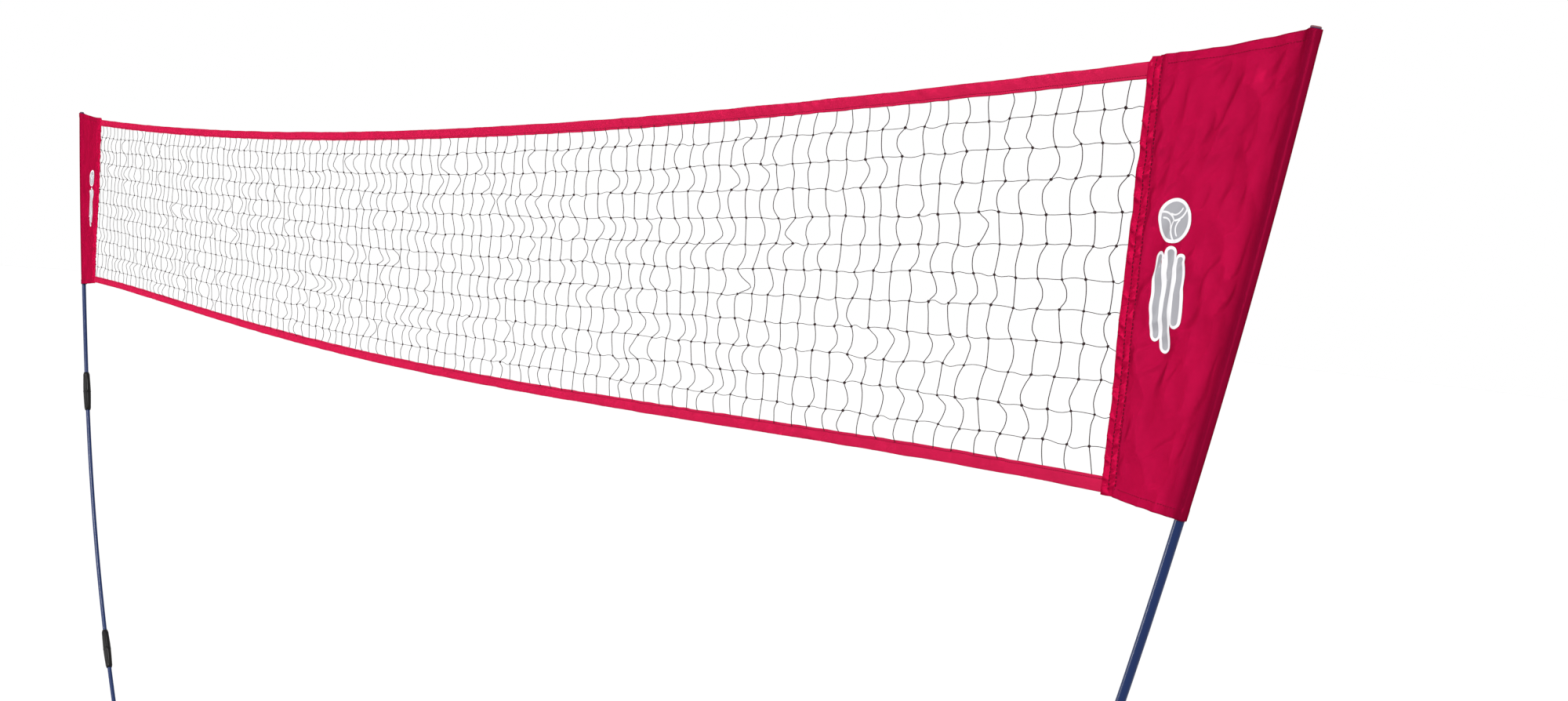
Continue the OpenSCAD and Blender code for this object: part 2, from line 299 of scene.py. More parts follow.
# %% Weave: fine crossing threads and small creases, as a height
def build_weave():
    group, entry, leave = start_group(
        "weave",
        [("Threads per metre", "NodeSocketFloat", 1800.0), ("Crease size", "NodeSocketFloat", 60.0),
         ("Crease share", "NodeSocketFloat", 0.6)],
        [("Height", "NodeSocketFloat")])
    place = add_node(group, "ShaderNodeTexCoord")
    apart = add_node(group, "ShaderNodeSeparateXYZ", Vector=place.outputs["Object"])
    turns = maths(group, "MULTIPLY", entry.outputs["Threads per metre"], math.pi)
    warp = maths(group, "SINE", maths(group, "MULTIPLY", apart.outputs["X"], turns))
    weft = maths(group, "SINE", maths(group, "MULTIPLY", apart.outputs["Z"], turns))
    threads = maths(group, "MULTIPLY", maths(group, "MULTIPLY", warp, weft), 0.12)
    creases = add_node(group, "ShaderNodeTexNoise", {"noise_type": "RIDGED_MULTIFRACTAL"},
                       Vector=place.outputs["Object"], Scale=entry.outputs["Crease size"],
                       Detail=3.0)
    share = maths(group, "MULTIPLY", creases.outputs["Fac"], entry.outputs["Crease share"])
    group.links.new(maths(group, "ADD", threads, share), leave.inputs["Height"])
    return group


# %% Grain: the fine bumps of moulded plastic and powder coat, with dust and worn spots as a mask
def build_grain():
    group, entry, leave = start_group(
        "grain",
        [("Size", "NodeSocketFloat", 900.0), ("Wear size", "NodeSocketFloat", 35.0)],
        [("Height", "NodeSocketFloat"), ("Wear", "NodeSocketFloat")])
    place = add_node(group, "ShaderNodeTexCoord")
    bumps = add_node(group, "ShaderNodeTexNoise", Vector=place.outputs["Object"],
                     Scale=entry.outputs["Size"], Detail=2.0)
    rubs = add_node(group, "ShaderNodeTexNoise", Vector=place.outputs["Object"],
                    Scale=entry.outputs["Wear size"], Detail=6.0, Roughness=0.7)
    worn = add_node(group, "ShaderNodeMapRange", Value=rubs.outputs["Fac"], From_Min=0.6,
                    From_Max=0.75)
    group.links.new(bumps.outputs["Fac"], leave.inputs["Height"])
    group.links.new(worn.outputs["Result"], leave.inputs["Wear"])
    return group


# %% Pole and painted shade: the dark pole seen through the thin cloth of its sleeve, and painted shade in the valley beside it
def build_show_through():
    group, entry, leave = start_group(
        "show_through",
        [("Color", "NodeSocketColor", (0.5, 0.5, 0.5, 1)), ("Centre X", "NodeSocketFloat", 0.0),
         ("Centre Z", "NodeSocketFloat", 0.0), ("Bend radius", "NodeSocketFloat", 8.0),
         ("Depth", "NodeSocketFloat", 0.4)],
        [("Color", "NodeSocketColor")])
    place = add_node(group, "ShaderNodeTexCoord")
    apart = add_node(group, "ShaderNodeSeparateXYZ", Vector=place.outputs["Object"])
    sideways = maths(group, "SUBTRACT", maths(group, "ABSOLUTE", apart.outputs["X"]),
                     entry.outputs["Centre X"])
    upward = maths(group, "SUBTRACT", apart.outputs["Z"], entry.outputs["Centre Z"])
    from_centre = maths(group, "SQRT", maths(group, "ADD", maths(group, "POWER", sideways, 2.0),
                                             maths(group, "POWER", upward, 2.0)))
    inward = maths(group, "SUBTRACT", entry.outputs["Bend radius"], from_centre)

    def band(middle, width, weight):
        t = maths(group, "DIVIDE", maths(group, "SUBTRACT", inward, middle), width)
        fall = maths(group, "MULTIPLY", maths(group, "MULTIPLY", t, t), -1.0)
        return maths(group, "MULTIPLY", maths(group, "EXPONENT", fall), weight)

    # The first band covers the sleeve, where the dark pole shows through and painted shade is added;
    # the second, further in, is painted shade in the valley between the sleeve and the flat panel.
    shade = maths(group, "ADD", band(-0.004, 0.0090, 0.9), band(0.010, 0.015, 0.45))
    keep = maths(group, "SUBTRACT", 1.0, maths(group, "MULTIPLY", shade, entry.outputs["Depth"]))
    tint = add_node(group, "ShaderNodeHueSaturation", Color=entry.outputs["Color"], Value=keep)
    group.links.new(tint.outputs["Color"], leave.inputs["Color"])
    return group


GROUPS = {"mottle": build_mottle(), "weave": build_weave(), "grain": build_grain(),
          "show_through": build_show_through()}
print("shared groups:", ", ".join(GROUPS))


# %% Start a finish and put a shared group in it
def start_finish(name):
    finish = bpy.data.materials.new(name)
    finish.use_nodes = True
    tree = finish.node_tree
    return finish, tree, tree.nodes["Principled BSDF"]


def use_group(tree, name, **inputs):
    node = tree.nodes.new("ShaderNodeGroup")
    node.node_tree = GROUPS[name]
    for key, value in inputs.items():
        node.inputs[key.replace("_", " ")].default_value = value
    return node


def bump(tree, shader, height, distance, strength=1.0):
    node = add_node(tree, "ShaderNodeBump", Strength=strength, Distance=distance, Height=height)
    tree.links.new(node.outputs["Normal"], shader.inputs["Normal"])


def set_colour(tree, shader, mottle):
    tree.links.new(mottle.outputs["Color"], shader.inputs["Base Color"])
    tree.links.new(mottle.outputs["Roughness"], shader.inputs["Roughness"])


# %% [markdown]
# ### Satin polyester
#
# The tapes and panels are a thin, tightly woven polyester with a soft shine. Base colour alone
# would look like paint, and a colourless highlight like plastic. So the weave's bump breaks the
# highlight up, and the shine is partly metallic, which gives it the cloth's own red as on dyed
# satin. The binding is the same cloth, gathered, and looks deeper in its folds. Tapes, panels and
# binding are one cloth with three base colours as painted light and shade: the tapes' red is the
# lightest, the binding's comes next and the panels' is the darkest.

# %% Cloth finishes
SATIN_GLEAM = (0.34, 0.002, 0.032)  # colour of the light that glances off the cloth


def satin(name, colour, roughness, shine, depth, crease_share, crease_depth):
    finish, tree, shader = start_finish(name)
    set_colour(tree, shader, use_group(tree, "mottle", Color=(*colour, 1), Size=14.0, Depth=depth,
                                       Roughness=roughness))
    weave = use_group(tree, "weave", Crease_share=crease_share)
    bump(tree, shader, weave.outputs["Height"], crease_depth)
    shader.inputs["Metallic"].default_value = shine
    shader.inputs["Specular IOR Level"].default_value = 0.0
    shader.inputs["Specular Tint"].default_value = (*SATIN_GLEAM, 1)
    return finish


# The tapes' base red is lighter than the panels' as painted light; it is the same cloth.
TAPE_CLOTH_PAINTED_LIGHT = satin("tape_satin_painted_light", (0.385, 0.010, 0.049), 0.31, 0.42, 0.12, 0.7, 0.0010)

# The pole's top bend has its centre on the net's side, at this (x, z) for the right-hand pole.
BEND_CENTRE = TIP + TOP_BEND * np.array([-math.cos(TIP_LEAN), math.sin(TIP_LEAN)])


def show_pole_and_painted_shade(finish, depth):
    """Put the dark line of the pole, with painted shade beside it, between the finish's own colour and
    its shader.
    """
    tree = finish.node_tree
    shader = tree.nodes["Principled BSDF"]
    plain = shader.inputs["Base Color"].links[0].from_socket
    pole_and_shade = use_group(tree, "show_through", Centre_X=BEND_CENTRE[0], Centre_Z=BEND_CENTRE[1],
                       Bend_radius=TOP_BEND, Depth=depth)
    tree.links.new(plain, pole_and_shade.inputs["Color"])
    tree.links.new(pole_and_shade.outputs["Color"], shader.inputs["Base Color"])


PANEL_CLOTH_WITH_PAINTED_SHADE = satin("panel_satin_with_painted_shade", (0.272, 0.0030, 0.031), 0.31, 0.45, 0.16, 0.8, 0.0007)
# The panel's colour darkens along its sleeve: partly the dark pole seen through the cloth, partly
# painted shade.
show_pole_and_painted_shade(PANEL_CLOTH_WITH_PAINTED_SHADE, 0.50)
# The binding's base red, between the tapes' and the panels', is painted light and shade; it is the same
# cloth.
BINDING_CLOTH_LIGHT_AND_SHADE = satin("binding_satin_light_and_shade", (0.30, 0.0025, 0.030), 0.34, 0.42, 0.16, 0.8, 0.0008)


def thread(name, colour, threads_per_metre):
    finish, tree, shader = start_finish(name)
    set_colour(tree, shader, use_group(tree, "mottle", Color=(*colour, 1), Size=220.0, Depth=0.3,
                                       Roughness=0.8))
    weave = use_group(tree, "weave", Threads_per_metre=threads_per_metre, Crease_size=900.0)
    bump(tree, shader, weave.outputs["Height"], 0.0003)
    shader.inputs["Specular IOR Level"].default_value = 0.06
    return finish


TWINE = thread("twine", (0.020, 0.011, 0.012), 2600.0)
# The dark red of the tape and hem thread is painted shade of the seam where it pinches the cloth.
SEAM_THREAD_PAINTED_SHADE = thread("seam_thread_painted_shade", (0.105, 0.001, 0.011), 3400.0)
DARK_THREAD = thread("dark_thread", (0.065, 0.001, 0.009), 3400.0)


# %% Hard finishes
def hard(name, colour, roughness, depth=0.08, grain=0.0, grain_size=900.0, metal=0.0, coat=0.0,
         shine=0.5, worn=None):
    finish, tree, shader = start_finish(name)
    mottle = use_group(tree, "mottle", Color=(*colour, 1), Size=9.0, Depth=depth,
                       Roughness=roughness)
    set_colour(tree, shader, mottle)
    if grain or worn:
        bumps = use_group(tree, "grain", Size=grain_size)
    if worn:
        mix = add_node(tree, "ShaderNodeMix", {"data_type": "RGBA"})
        tree.links.new(bumps.outputs["Wear"], mix.inputs[0])
        tree.links.new(mottle.outputs["Color"], mix.inputs[6])
        mix.inputs[7].default_value = (*worn, 1)
        tree.links.new(mix.outputs[2], shader.inputs["Base Color"])
    if grain:
        bump(tree, shader, bumps.outputs["Height"], grain)
    shader.inputs["Metallic"].default_value = metal
    shader.inputs["Coat Weight"].default_value = coat
    shader.inputs["Coat Roughness"].default_value = 0.06
    shader.inputs["Specular IOR Level"].default_value = shine
    return finish


POLE_GLOSS = hard("pole_gelcoat", (0.0025, 0.011, 0.052), 0.28, depth=0.15, coat=0.12, shine=0.14)
FERRULE_BLACK = hard("ferrule_plastic", (0.0032, 0.0028, 0.0028), 0.35, shine=0.12, grain=0.00008)
CAP_GREY = hard("cap_plastic", (0.13, 0.055, 0.06), 0.6, shine=0.2, grain=0.00015)
BASE_PAINT = hard("base_powder_coat", (0.004, 0.014, 0.060), 0.32, depth=0.15, coat=0.2, shine=0.3,
                  grain=0.00006, grain_size=500.0, worn=(0.012, 0.025, 0.07))
HUB_PLASTIC = hard("hub_plastic", (0.007, 0.007, 0.008), 0.5, shine=0.3, grain=0.00012,
                   worn=(0.016, 0.016, 0.018))
FOOT_RUBBER = hard("foot_rubber", (0.006, 0.006, 0.006), 0.8, depth=0.2, shine=0.3, grain=0.0002,
                   worn=(0.028, 0.026, 0.024))
JOINT_STEEL = hard("joint_steel", (0.50, 0.50, 0.51), 0.3, metal=1.0, grain=0.00003)
ZINC = hard("zinc_plate", (0.55, 0.55, 0.53), 0.28, depth=0.2, metal=1.0, grain=0.00004)
SPRING_STEEL = hard("spring_steel", (0.25, 0.26, 0.29), 0.25, metal=1.0, grain=0.00003)
ELASTIC = thread("elastic_cord", (0.03, 0.03, 0.034), 1500.0)
PRINT_WHITE = hard("print_white", (0.47, 0.465, 0.475), 0.5, depth=0.04, shine=0.2, grain=0.00008)
PRINT_GREY = hard("print_grey", (0.185, 0.185, 0.20), 0.42, depth=0.25, shine=0.3, grain=0.00008)
print("finishes:", len(bpy.data.materials))

# %% [markdown]
# ## Hard pieces
#
# The tubes, hubs, legs and fasteners are right as they come from the frame. They only need their
# finishes, and a table of slot to finish says which is which in one place.

# %% Give the frame's own pieces their finishes
SLOT_FINISH = {
    "pole_gloss": POLE_GLOSS, "ferrule_black": FERRULE_BLACK, "cap_grey": CAP_GREY,
    "joint_steel": JOINT_STEEL, "elastic": ELASTIC, "base_paint": BASE_PAINT,
    "hub_plastic": HUB_PLASTIC, "foot_rubber": FOOT_RUBBER, "fastener_zinc": ZINC,
    "spring_steel": SPRING_STEEL,
}
for row in frame["record"]["subparts"]:
    finish = SLOT_FINISH.get(row["material_slot"])
    if finish:
        node = frame["nodes"][row["node"]]
        for place in node.material_slots:
            place.material = finish

# %% [markdown]
# ## The mesh
#
# Real mesh is knotted from slack twine. The rows are pulled nearly straight by the poles, and the
# columns hang loose, so each stretch between two knots bellies out to one side. Neighbouring
# columns belly the same way, because they are knotted in the same pass. So the knots are placed
# first, each a little off its square, and the twines then run from knot to knot.

# %% Place the knots
SQUARE = 2 * HALF_WIDTH / COLUMNS
knot_x = -HALF_WIDTH + SQUARE * (np.arange(COLUMNS) + 0.5)
row_share = np.array([0.0] + [(i - 0.22) / (ROWS + 0.56) for i in range(1, ROWS + 1)] + [1.0])
chance = np.random.default_rng(41)


def place_knots():
    """Knots as (row, column, xyz); the first and last rows are where the twine enters the tapes."""
    row = np.arange(ROWS + 2)[:, None]
    x = np.broadcast_to(knot_x, (ROWS + 2, COLUMNS))
    sewn = (row == 0) | (row == ROWS + 1)
    apart = 0.0065 * soft_noise(7, x / 0.09, row) + chance.normal(0, 0.0025, x.shape)
    wander = 0.0085 * soft_noise(3, x / 0.42, row * 0.83) + 0.0045 * soft_noise(4, x / 0.12, row)
    lift = 0.0026 * soft_noise(5, x / 0.15, row * 1.3) + chance.normal(0, 0.0008, x.shape)
    sway = 0.0050 * soft_noise(6, x / 0.5, row * 0.6)
    z = top_edge(x) * (1 - row_share[:, None]) + bottom_edge(x) * row_share[:, None]
    inside = np.where(row == 0, 0.003, np.where(row == ROWS + 1, -0.003, 0.0))
    wander = wander + chance.normal(0, 0.0018, x.shape)
    return np.stack([x + np.where(sewn, apart, wander),
                     np.where(sewn, 0, sway), z + np.where(sewn, 0, lift) + inside], axis=-1)


knots = place_knots()
print("knots", ROWS * COLUMNS, "on squares of", round(SQUARE * 1000, 1), "mm")


# %% A round twine along a path
def add_cord(paths, radius, sides):
    """Vertices and faces of round cords along paths that lie close to the net's plane."""
    verts, faces = [], []
    angle = np.arange(sides) * 2 * math.pi / sides
    for path in paths:
        along = np.gradient(path, axis=0)
        along /= np.linalg.norm(along, axis=1)[:, None]
        beside = np.cross(along, (0.0, 1.0, 0.0))
        beside /= np.linalg.norm(beside, axis=1)[:, None]
        facing = np.cross(beside, along)
        ring = (path[:, None] + radius * (np.cos(angle)[None, :, None] * beside[:, None]
                                          + np.sin(angle)[None, :, None] * facing[:, None]))
        first = len(verts)
        verts.extend(ring.reshape(-1, 3))
        faces.extend(grid_faces(len(path), sides, wrap=True, first=first))
        faces.append([first + k for k in range(sides)][::-1])
        faces.append([first + (len(path) - 1) * sides + k for k in range(sides)])
    return verts, faces


# %% Column twines, slack between the knots
COLUMN_RADIUS = 0.00066
ROW_RADIUS = 0.00048
TWINE_SIDES = 6
BELLY = 0.0150
GUIDE_SHARES = (0.32, 0.68)  # where between two knots a twine's course is set
STEPS_PER_GUIDE = 3


def smooth_path(points, steps):
    """A curve through the points that keeps its direction at each of them."""
    before = np.concatenate([2 * points[:1] - points[1:2], points[:-1]])
    after = np.concatenate([points[1:], 2 * points[-1:] - points[-2:-1]])
    slope = (after - before) / 2
    t = np.linspace(0, 1, steps + 1)[:-1][None, :, None]
    a, b, da, db = points[:-1, None], points[1:, None], slope[:-1, None], slope[1:, None]
    curve = (a * (2 * t ** 3 - 3 * t ** 2 + 1) + da * (t ** 3 - 2 * t ** 2 + t)
             + b * (3 * t ** 2 - 2 * t ** 3) + db * (t ** 3 - t ** 2))
    return np.concatenate([curve.reshape(-1, 3), points[-1:]])


def column_paths():
    """Each stretch bellies one way and the next the other, as slack twine does through a knot."""
    paths = []
    for j, x in enumerate(knot_x):
        ends_calm = 0.6 + 0.4 * smooth_step(0.05, 0.5, HALF_WIDTH - abs(x))
        guides = []
        for i in range(ROWS + 1):
            a, b = knots[i, j], knots[i + 1, j]
            belly = 0.55 * (-1) ** i * (0.5 + 0.5 * soft_noise(15, x / 0.4, i * 0.7))
            belly += 0.60 * soft_noise(11, x / 0.17, i * 0.91) + chance.normal(0, 0.32)
            facing = 0.65 + 0.6 * soft_noise(13, x / 0.45, i * 0.8) + chance.normal(0, 0.15)
            lopsided = 0.8 * soft_noise(12, x / 0.2, i * 1.7) + chance.normal(0, 0.35)
            reach = BELLY * ends_calm * belly
            short = 0.55 if i in (0, ROWS) else 1.0
            guides.append(a)
            for share in GUIDE_SHARES:
                push = short * reach * (1 + (0.5 - share) * 2 * lopsided) * 0.85
                guides.append(a + (b - a) * share + (push * math.cos(facing),
                                                     push * math.sin(facing), 0))
        guides.append(knots[ROWS + 1, j])
        paths.append(smooth_path(np.array(guides), STEPS_PER_GUIDE))
    return paths


column_twine = new_piece("column_twine", *add_cord(column_paths(), COLUMN_RADIUS, TWINE_SIDES), TWINE)
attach(column_twine, "frame")
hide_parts("net_columns")
print("column twine faces", len(column_twine.data.polygons))


# %% Row twines, nearly straight, tied into the bindings
TIED_IN = 0.004  # how far a row runs into the bindings
STEPS_PER_SQUARE = 6


def row_paths():
    share = np.linspace(0, 1, STEPS_PER_SQUARE + 1)[:-1]
    paths = []
    for i in range(1, ROWS + 1):
        ends = []
        for x in (-HALF_WIDTH - TIED_IN, HALF_WIDTH + TIED_IN):
            z = top_edge(x) * (1 - row_share[i]) + bottom_edge(x) * row_share[i]
            ends.append([[x, 0, z + chance.normal(0, 0.003)]])
        tied = np.concatenate([ends[0], knots[i], ends[1]])
        stretches = []
        for a, b in zip(tied[:-1], tied[1:]):
            line = a + (b - a) * share[:, None]
            dip, twist = chance.normal(0.0004, 0.0014), chance.normal(0, 0.0008)
            line[:, 2] += -dip * np.sin(math.pi * share) + twist * np.sin(2 * math.pi * share)
            line[:, 1] += chance.normal(0, 0.0012) * np.sin(math.pi * share)
            stretches.append(line)
        paths.append(np.concatenate(stretches + [tied[-1:]]))
    return paths


row_twine = new_piece("row_twine", *add_cord(row_paths(), ROW_RADIUS, TWINE_SIDES), TWINE)
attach(row_twine, "frame")
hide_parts("net_rows")
print("row twine faces", len(row_twine.data.polygons))

# %% [markdown]
# ### Knots
#
# A net knot is a hard little lump where the two twines lock round each other. Each one here is two
# crossed loops of twine with a third pulled tight round them, turned a different way at every knot.

# %% One knot, repeated at every crossing
# Tilt, half width and half height of the loops.
KNOT_LOOPS = ((0.6, 0.00135, 0.00095), (-0.6, 0.00135, 0.00095), (math.pi / 2, 0.00095, 0.00120))


def knot_shape():
    """A tight knot as three short closed loops of twine."""
    rings, sides = 10, 5
    verts, faces = [], []
    for tilt, wide, tall in KNOT_LOOPS:
        lap = np.arange(rings) * 2 * math.pi / rings
        girth = np.arange(sides) * 2 * math.pi / sides
        reach = 1 + 0.55 * np.cos(girth)[None, :]
        x = wide * np.cos(lap)[:, None] * reach
        z = tall * np.sin(lap)[:, None] * reach
        y = np.broadcast_to(0.0008 * np.sin(girth)[None, :], x.shape)
        turned = np.stack([x * math.cos(tilt) - z * math.sin(tilt), y * 1.3,
                           x * math.sin(tilt) + z * math.cos(tilt)], axis=-1)
        first = len(verts)
        verts.extend(turned.reshape(-1, 3))
        for r in range(rings):
            for s in range(sides):
                here, there = r * sides, ((r + 1) % rings) * sides
                faces.append([first + here + s, first + here + (s + 1) % sides,
                              first + there + (s + 1) % sides, first + there + s])
    return np.array(verts), np.array(faces)


def all_knots():
    shape, quads = knot_shape()
    verts, faces = [], []
    for i in range(1, ROWS + 1):
        for j in range(COLUMNS):
            spin = Matrix.Rotation(chance.uniform(-0.7, 0.7), 3, "Y") \
                @ Matrix.Rotation(chance.uniform(-0.6, 0.6), 3, "X")
            size = chance.uniform(1.0, 1.4)
            faces.extend((quads + len(verts)).tolist())
            verts.extend(shape @ np.array(spin).T * size + knots[i, j])
    return verts, faces


net_knots = new_piece("net_knots", *all_knots(), TWINE)
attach(net_knots, "frame")
print("knot faces", len(net_knots.data.polygons))

# %% [markdown]
# ## Tapes
#
# Each tape is one long strip of satin folded over the mesh's edge and sewn through near its open
# side. The seam pinches the two layers together and the cloth beyond it puffs out a little. A
# folded sheet is a strip of points across the fold, repeated along the net, and small puckers
# move each point in and out.

# %% A strip of cloth folded over an edge
CLOTH_THICKNESS = 0.0004
TUCKED_IN = 0.008  # how far a tape's end runs into the binding
TAPE_STEPS = 1209
# Distance from the open edge, and half the gap between the layers there.
FOLD_PROFILE = [(0.0, 0.0009), (0.0015, 0.0010), (0.003, 0.0007), (0.004, 0.0005), (0.005, 0.0007),
                (0.007, 0.0011), (0.010, 0.0015), (0.0135, 0.0015), (0.017, 0.0013),
                (0.0195, 0.0010), (0.0206, 0.0005)]
SEAM_POINT = 3  # the profile's point where the layers are sewn together


def fold_points(profile, depth):
    """(distance from the open edge, side) pairs from the front's open edge over the fold to the
    back's, where the last profile point closes with the fold itself."""
    front = [(d, -gap) for d, gap in profile]
    back = [(d, gap) for d, gap in reversed(profile)]
    return np.array(front + [(depth, 0.0)] + back)


def add_thickness(piece, thickness):
    layer = piece.modifiers.new("cloth_thickness", "SOLIDIFY")
    layer.thickness = thickness
    layer.offset = 0


def tape(name, open_edge, away, seed):
    """A tape whose open side lies on the curve open_edge(x) and whose fold lies away from it."""
    x = np.linspace(-HALF_WIDTH - TUCKED_IN, HALF_WIDTH + TUCKED_IN, TAPE_STEPS)[:, None]
    section = fold_points(FOLD_PROFILE, TAPE_HEIGHT)
    d, gap = section[:, 0][None], section[:, 1][None]
    z = open_edge(x) + away * d
    free = np.clip(np.abs(d - FOLD_PROFILE[SEAM_POINT][0]) / 0.006, 0, 1)
    slant = x / 0.016 + np.where(gap < 0, 1.4, -1.1) * d / TAPE_HEIGHT
    pucker = 0.0016 * (1 - 2.6 * np.abs(soft_noise(seed, slant, d / 0.016))) * free
    pucker = pucker * (0.35 + 0.65 * np.abs(soft_noise(seed + 6, x / 0.11)))
    drift = 0.0011 * soft_noise(seed + 1, x / 0.07, d / 0.03) + 0.003 * soft_noise(seed + 2, x / 0.6)
    edge_wave = 0.0006 * soft_noise(seed + 3, x / 0.024) * (1 - d / TAPE_HEIGHT) \
        + 0.0005 * soft_noise(seed + 4, x / 0.05) * d / TAPE_HEIGHT
    puff = gap * (1 + 0.45 * soft_noise(seed + 5, x / 0.03, np.sign(gap) * 3))
    ends = smooth_step(0, 0.03, HALF_WIDTH - np.abs(x))
    points = np.stack([np.broadcast_to(x, z.shape), puff + (pucker + drift) * ends,
                       z + edge_wave], axis=-1)
    piece = new_piece(name, points.reshape(-1, 3), grid_faces(*z.shape), TAPE_CLOTH_PAINTED_LIGHT)
    add_thickness(piece, CLOTH_THICKNESS)
    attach(piece, "frame")
    return piece, points[:, SEAM_POINT], points[:, -1 - SEAM_POINT]


top_tape, top_front_seam, top_back_seam = tape("top_tape_cloth", top_edge, 1, 21)
bottom_tape, low_front_seam, low_back_seam = tape("bottom_tape_cloth", bottom_edge, -1, 31)
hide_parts("top_tape")
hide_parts("bottom_tape")
print("tape points", len(top_tape.data.vertices))

# %% [markdown]
# ## Stitches
#
# Lockstitch is a row of short straight threads that dip into the cloth at both ends. The seams are
# real threads laid on the cloth's surface, because at the near end of the net they can be counted.

# %% A row of stitches along a path on the cloth
STITCH_LENGTH = 0.0034
STITCH_GAP = 0.0010


def resample(path, step):
    lengths = np.concatenate([[0], np.cumsum(np.linalg.norm(np.diff(path, axis=0), axis=1))])
    at = np.arange(0, lengths[-1], step)
    return np.stack([np.interp(at, lengths, path[:, k]) for k in range(3)], axis=-1)


def stitches(path, side, radius=0.0004, length=STITCH_LENGTH, gap=STITCH_GAP, zigzag=0.0):
    """Vertices and faces of stitches along path, standing proud of the cloth on the given side."""
    ends = resample(np.asarray(path), length + gap)
    verts, faces = [], []
    sides = 5
    angle = np.arange(sides) * 2 * math.pi / sides
    share = np.array([0.0, 0.18, 0.5, 0.82, 1.0])
    lift = np.array([-0.7, 0.35, 0.75, 0.35, -0.7]) * radius
    girth = np.array([0.55, 1.0, 1.0, 1.0, 0.55]) * radius
    for n, (a, b) in enumerate(zip(ends[:-1], ends[1:])):
        run = (b - a) * length / (length + gap)
        across = np.cross(run, (0, side, 0))
        across /= np.linalg.norm(across)
        wave = across * zigzag * (1 if n % 2 else -1)
        centre = a + run * share[:, None] + wave * (share[:, None] - 0.5) * 2
        centre[:, 1] += side * lift
        ring = centre[:, None] + girth[:, None, None] * (
            np.cos(angle)[None, :, None] * across
            + np.sin(angle)[None, :, None] * np.array([0, side, 0.0]))
        faces.extend(grid_faces(len(share), sides, wrap=True, first=len(verts)))
        verts.extend(ring.reshape(-1, 3))
    return verts, faces


def sew(name, seams, finish, slot_name, **thread_size):
    """One piece that holds the stitches of several (path, side) seams."""
    verts, faces = [], []
    for path, side in seams:
        more_verts, more_faces = stitches(path, side, **thread_size)
        faces.extend([[v + len(verts) for v in face] for face in more_faces])
        verts.extend(more_verts)
    piece = new_piece(name, verts, faces, finish)
    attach(piece, "frame")
    return piece


def proud(path, side):
    return np.asarray(path) + (0, side * CLOTH_THICKNESS / 2, 0)


tape_seams = sew("tape_stitches",
                 [(proud(top_front_seam, -1), -1), (proud(top_back_seam, 1), 1),
                  (proud(low_front_seam, -1), -1), (proud(low_back_seam, 1), 1)],
                 SEAM_THREAD_PAINTED_SHADE, "tape_cloth")
print("tape stitch faces", len(tape_seams.data.polygons))

# %% [markdown]
# ## End panels
#
# A panel is one piece of satin that leaves the binding, passes round the pole and comes back, so it
# makes its own sleeve. It lies flat near the binding, rises over the pole and leaves a soft valley
# between the two. Pulling from the pole's tip and the gathers of the binding crease it. The panel
# is a grid that runs front, round the pole, back, with those creases added as small moves.

# %% Shape of a panel
SLEEVE_START, SLEEVE_LENGTH = 0.001, 0.613
SLEEVE_RADIUS = 0.0083
PANEL_TOP_RISE, PANEL_BOTTOM_DROP = 0.029, 0.025
PANEL_INSET = 0.021  # from the mesh's end to where the panel leaves the binding
HEM_HEIGHT = 0.017
FRONT_STEPS, WRAP_STEPS, HEIGHT_STEPS = 84, 12, 236
FLAT_GAP = 0.0013  # from the panel's middle plane to either layer, away from the pole
LEAST_GAP = 0.0006  # the layers never come closer to that plane than this
BINDING_SEED = {"right": 110, "left": 140}
CREASED = {"right": 1.0, "left": 0.4}  # the left-hand end hangs smoother


def panel_rows():
    """For each height: the binding point, the pole point and the pole's lean, all on the right."""
    share = np.linspace(0, 1, HEIGHT_STEPS)
    inner = np.stack([np.full_like(share, HALF_WIDTH + PANEL_INSET),
                      CORNER_Z + PANEL_TOP_RISE
                      - share * (MESH_HEIGHT + PANEL_TOP_RISE + PANEL_BOTTOM_DROP)], axis=-1)
    outer, lean = zip(*[on_top_tube(SLEEVE_START + s * SLEEVE_LENGTH) for s in share])
    return share, inner, np.array(outer), np.array(lean)


def ridged(seed, a, b):
    """Flat facets with sharp creases between them, from -1 to 1."""
    return 1 - 2.6 * np.abs(soft_noise(seed, a, b))


def panel_creases(from_binding, from_pole, height, seed):
    """How far the cloth is pushed out at a point, from its distances and its height."""
    past_binding = np.maximum(from_binding - 0.005, 0)
    gather = 0.0048 * soft_noise(seed, height / 0.022 + from_binding / 0.09, from_binding / 0.045) \
        * np.exp(-past_binding / 0.030)
    gather += 0.0015 * ridged(seed + 1, height / 0.013, from_binding / 0.03) \
        * np.exp(-past_binding / 0.013)
    fan = np.arctan2(from_pole + 0.03, height + 0.03)
    pull = 0.0007 * soft_noise(seed + 2, fan / 0.07, height / 0.25)
    tilted = height / 0.085 + 0.7 * from_pole / 0.06
    crumple = 0.0036 * ridged(seed + 3, tilted, from_pole / 0.05 - height / 0.19)
    crumple += 0.0018 * ridged(seed + 4, height / 0.034 - from_pole / 0.06, from_pole / 0.026)
    drape = 0.0042 * soft_noise(seed + 5, height / 0.20, from_binding / 0.11)
    drape = drape * (0.25 + 0.75 * smooth_step(0.05, 0.22, height))
    swell = 0.0034 * np.exp(-((past_binding / 0.050) ** 2))
    return (gather + pull + crumple + drape + swell) * smooth_step(0.002, 0.020, from_binding)


def binding_bend(z, seed):
    """How far the binding leans out of the net's plane at a height."""
    return 0.0016 * soft_noise(seed, z / 0.065) + 0.0008 * soft_noise(seed + 1, z / 0.024)


def sleeve_rise(from_pole, height):
    """Share of the sleeve's fullness left at a distance from the pole: steep, then a soft foot."""
    reach = 0.0105 + 0.006 * height / SLEEVE_LENGTH
    steep = 1 / (1 + (from_pole / reach) ** 2.4)
    foot = np.exp(-from_pole / (0.020 + 0.012 * height / SLEEVE_LENGTH))
    return 0.72 * steep + 0.28 * foot


